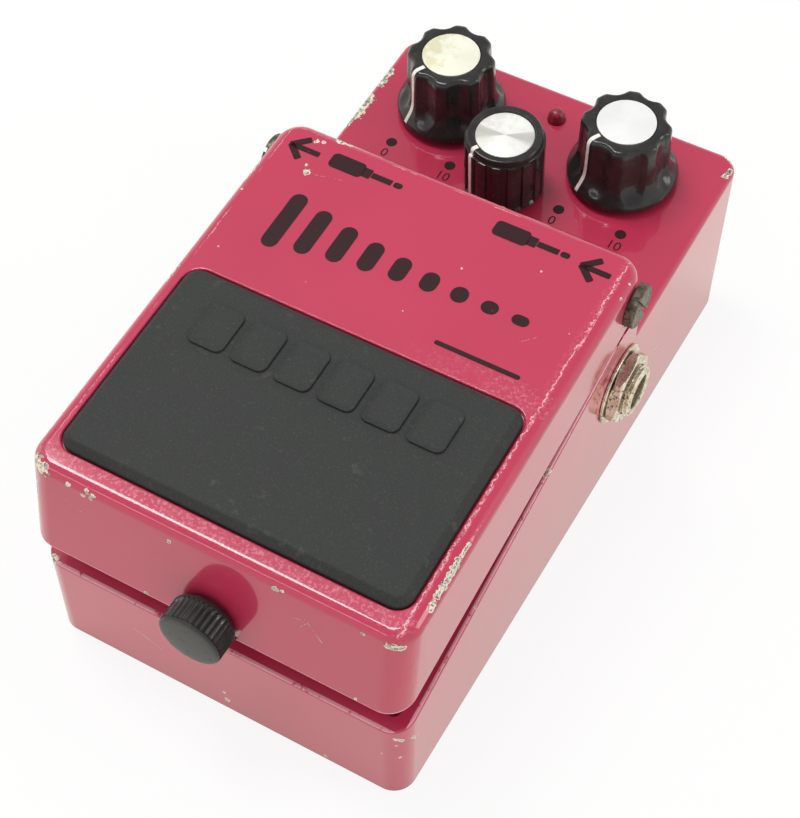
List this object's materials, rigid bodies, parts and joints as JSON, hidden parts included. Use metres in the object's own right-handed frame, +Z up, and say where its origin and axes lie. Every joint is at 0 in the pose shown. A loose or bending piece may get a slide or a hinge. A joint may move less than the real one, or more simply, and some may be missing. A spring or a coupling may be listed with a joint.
{
  "type": "delay pedal",
  "caption": "Compact delay effect foot pedal with a hinged treadle, rubber foot pad, knobs on a sloping panel, side jacks and a rear power inlet.",
  "frame": {"origin": "centre of the underside, on the face that the pedal rests on", "axes": "+X to the right (input jack side), +Y to the rear (knob and power inlet end), +Z up"},
  "size_m": [0.0784, 0.1364, 0.0536],
  "materials": {
    "pink_paint": "glossy metallic pink paint over a light casting, chipped at the edges",
    "zinc_steel": "zinc plated, dull",
    "dark_steel": "blackened, a little worn",
    "spring_steel": "drawn wire",
    "black_metal": "matte black, knurled",
    "black_rubber": "matte, slightly dusty",
    "grey_sheet": "thin insulating sheet",
    "white_nylon": "natural nylon",
    "black_plastic": "moulded",
    "black_knob": "moulded, satin",
    "white_line": "filled line",
    "ivory_disc": "yellowed ivory",
    "spun_disc": "spun, fine rings",
    "white_disc": "off white",
    "brass_shaft": "machined",
    "pot_can": "stamped",
    "nickel_nut": "nickel plated",
    "green_board": "solder mask",
    "cell_case": "plain sleeve",
    "grey_foam": "open foam",
    "red_lead": "insulated wire",
    "black_lead": "insulated wire",
    "grey_lead": "insulated wire",
    "red_lens": "clear red",
    "can_sleeve": "shrunk sleeve",
    "film_coat": "dipped",
    "resistor_coat": "dipped",
    "trimmer_blue": "moulded"
  },
  "bodies": {
    "base": {"base_plate": "zinc_steel", "base_screws": "zinc_steel", "battery": "cell_case", "battery_foam": "grey_foam", "battery_grommet": "black_rubber", "battery_lead_black": "black_lead", "battery_lead_red": "red_lead", "battery_snap": "black_plastic", "board_can_capacitors": "can_sleeve", "board_chips": "black_plastic", "board_film_capacitors": "film_coat", "board_resistors": "resistor_coat", "board_screws": "zinc_steel", "board_trimmers": "trimmer_blue", "chassis": "pink_paint", "foot_switch": "black_plastic", "hinge_screws": "dark_steel", "input_jack": "black_plastic", "insulating_sheet": "grey_sheet", "jack_leads": "grey_lead", "jack_nuts": "nickel_nut", "jack_washers": "zinc_steel", "lamp": "red_lens", "main_board": "green_board", "output_jack": "black_plastic", "panel_cable": "grey_lead", "pot_board": "green_board", "pot_body_left": "pot_can", "pot_body_middle": "pot_can", "pot_body_right": "pot_can", "pot_nuts": "nickel_nut", "pot_washers": "zinc_steel", "power_nut": "nickel_nut", "power_socket": "black_plastic", "rubber_mat": "black_rubber", "switch_board": "green_board", "switch_leads": "grey_lead", "switch_screws": "zinc_steel", "treadle_spring": "spring_steel"},
    "rocker": {"hinge_washers": "white_nylon"},
    "treadle": {"treadle": "pink_paint", "rubber_pad": "black_rubber", "guide_bushing": "white_nylon", "switch_cushion": "black_rubber"},
    "thumb_carrier": {"thumbscrew_clip": "dark_steel"},
    "thumbscrew": {"thumbscrew": "black_metal"},
    "switch_plunger": {"switch_plunger": "black_plastic"},
    "knob_left": {"knob_left": "black_knob", "knob_pointer_left": "white_line", "knob_disc_left": "ivory_disc", "pot_shaft_left": "brass_shaft"},
    "knob_middle": {"knob_middle": "black_knob", "knob_pointer_middle": "white_line", "knob_disc_middle": "spun_disc", "pot_shaft_middle": "brass_shaft"},
    "knob_right": {"knob_right": "black_knob", "knob_pointer_right": "white_line", "knob_disc_right": "white_disc", "pot_shaft_right": "brass_shaft"}
  },
  "joints": [
    {"name": "treadle_press", "type": "hinge", "parent": "base", "child": "rocker", "pos_m": [0, 0.0145, 0.0467], "axis": [-1, 0, 0], "range_deg": [-2.5, 0], "stiffness_Nm_per_rad": 12, "springref_deg": 1.15, "deforming": ["treadle_spring", "switch_cushion"]},
    {"name": "treadle_open", "type": "hinge", "parent": "rocker", "child": "treadle", "pos_m": [0, 0.0145, 0.0467], "axis": [-1, 0, 0], "range_deg": [0, 65]},
    {"name": "thumbscrew_travel", "type": "slide", "parent": "treadle", "child": "thumb_carrier", "axis": [0, -1, 0], "range_m": [0, 0.0042]},
    {"name": "thumbscrew_turn", "type": "hinge", "parent": "thumb_carrier", "child": "thumbscrew", "pos_m": [0, -0.065, 0.032], "axis": [0, -1, 0], "range_deg": [0, 2160]},
    {"name": "switch_plunger_slide", "type": "slide", "parent": "base", "child": "switch_plunger", "axis": [0, 0, -1], "range_m": [0, 0.0008], "stiffness_N_per_m": 1200, "springref_m": -0.001},
    {"name": "knob_left_turn", "type": "hinge", "parent": "base", "child": "knob_left", "pos_m": [-0.0189, 0.0501, 0.03668], "axis": [0, 0.0659, -0.9978], "range_deg": [0, 300]},
    {"name": "knob_middle_turn", "type": "hinge", "parent": "base", "child": "knob_middle", "pos_m": [-0.001, 0.0374, 0.03584], "axis": [0, 0.0659, -0.9978], "range_deg": [0, 300]},
    {"name": "knob_right_turn", "type": "hinge", "parent": "base", "child": "knob_right", "pos_m": [0.0169, 0.0501, 0.03668], "axis": [0, 0.0659, -0.9978], "range_deg": [0, 300]}
  ],
  "couplings": [
    {"joint": "thumbscrew_turn", "follows": "thumbscrew_travel", "rad_per_m": 8975.9}
  ]
}
